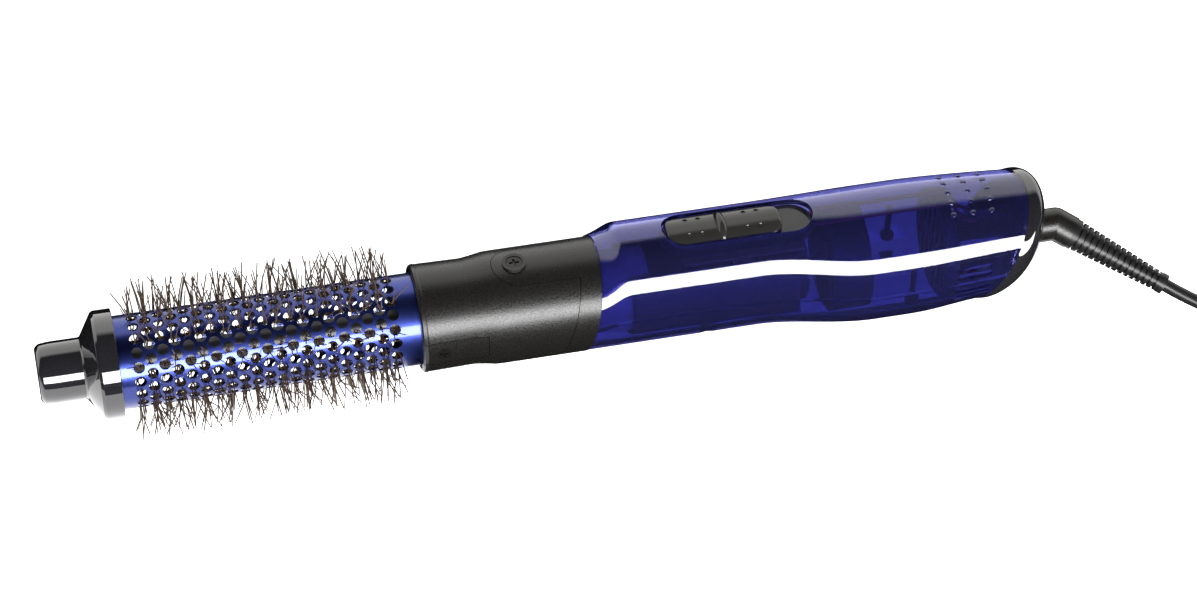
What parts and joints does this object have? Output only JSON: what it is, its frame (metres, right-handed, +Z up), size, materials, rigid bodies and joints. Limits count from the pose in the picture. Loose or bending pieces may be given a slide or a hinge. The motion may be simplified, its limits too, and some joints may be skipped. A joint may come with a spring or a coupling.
{
  "type": "hot air brush",
  "caption": "Round hot air styling brush with a perforated metal barrel, bristles, a translucent handle with a slide switch, and a swivel mains cord with plug.",
  "frame": {"origin": "middle of the base of the brush's bounding box, the cord and what is on it left out", "axes": "+X from the cool tip to the cord end, +Z up, with the switch on top"},
  "size_m": [0.5287, 0.0951, 0.0541],
  "materials": {
    "gloss_black": "gloss moulded ABS",
    "blue_anodised": "blue anodised, satin sheen",
    "dark_steel": "darkened steel",
    "black_nylon": "glass-filled nylon",
    "satin_black": "fine grained satin",
    "blackened_screw": "blackened steel",
    "zinc_screw": "zinc plated",
    "mica": "mica sheet",
    "heater_wire": "resistance wire",
    "steel": "plain steel",
    "translucent_blue": "translucent deep blue, polished",
    "button_grey": "polished dark grey",
    "board": "paper laminate board",
    "bronze": "sintered bronze",
    "copper": "bare copper",
    "wire_sleeve": "wire insulation",
    "filter_mesh": "fine mesh",
    "bristle": "nylon and boar bristle on twisted wire",
    "cord_rubber": "matt cord sheath",
    "tie": "soft tie band",
    "plug_black": "moulded plug",
    "nickel": "nickel plated brass"
  },
  "bodies": {
    "lead": {"swivel_elbow": "satin_black", "retaining_clip": "steel", "contact_rings": "copper", "strain_relief": "cord_rubber", "power_cord": "cord_rubber", "cord_tail": "cord_rubber", "cord_coil": "cord_rubber", "cord_tie": "tie", "plug_body": "plug_black", "plug_pins": "nickel"},
    "handle": {"barrel_mount": "satin_black", "bristle_strip_01": "bristle", "bristle_strip_02": "bristle", "bristle_strip_03": "bristle", "bristle_strip_04": "bristle", "bristle_strip_05": "bristle", "bristle_strip_06": "bristle", "bristle_strip_07": "bristle", "bristle_strip_08": "bristle", "bristle_strip_09": "bristle", "bristle_strip_10": "bristle", "collar_side_screws": "blackened_screw", "collar_sleeve": "satin_black", "collar_top_screws": "blackened_screw", "contact_springs": "bronze", "cool_tip": "gloss_black", "core_rod": "dark_steel", "diodes": "black_nylon", "dust_filter": "filter_mesh", "fan_shroud": "black_nylon", "filter_frame": "black_nylon", "front_bristle_hub": "black_nylon", "handle_lower_shell": "translucent_blue", "handle_neck_ring": "satin_black", "handle_upper_shell": "translucent_blue", "heater_coil": "heater_wire", "inner_wires": "wire_sleeve", "mica_cross": "mica", "mica_tube": "mica", "motor_bushes": "bronze", "motor_can": "steel", "motor_end_bell": "black_nylon", "motor_magnets": "dark_steel", "motor_mount": "black_nylon", "perforated_barrel": "blue_anodised", "rear_bristle_hub": "black_nylon", "rear_cap": "gloss_black", "shell_screws": "zinc_screw", "slide_switch": "black_nylon", "switch_bed": "button_grey", "switch_board": "board", "swivel_socket": "gloss_black", "thermal_fuse": "steel", "thermostat": "steel"},
    "switch": {"switch_button": "button_grey"},
    "rotor": {"motor_shaft": "steel", "rotor_core": "dark_steel", "commutator": "copper", "fan_impeller": "black_nylon"}
  },
  "joints": [
    {"name": "cord_swivel", "type": "hinge", "parent": "lead", "child": "handle", "pos_m": [0.15027, 0.00023, 0.02545], "axis": [1, 0, 0], "continuous": true},
    {"name": "switch_slide", "type": "slide", "parent": "handle", "child": "switch", "axis": [1, 0, 0], "range_m": [0, 0.01]},
    {"name": "motor_spin", "type": "hinge", "parent": "handle", "child": "rotor", "pos_m": [0.07026, 0.00023, 0.02545], "axis": [1, 0, 0], "continuous": true}
  ]
}
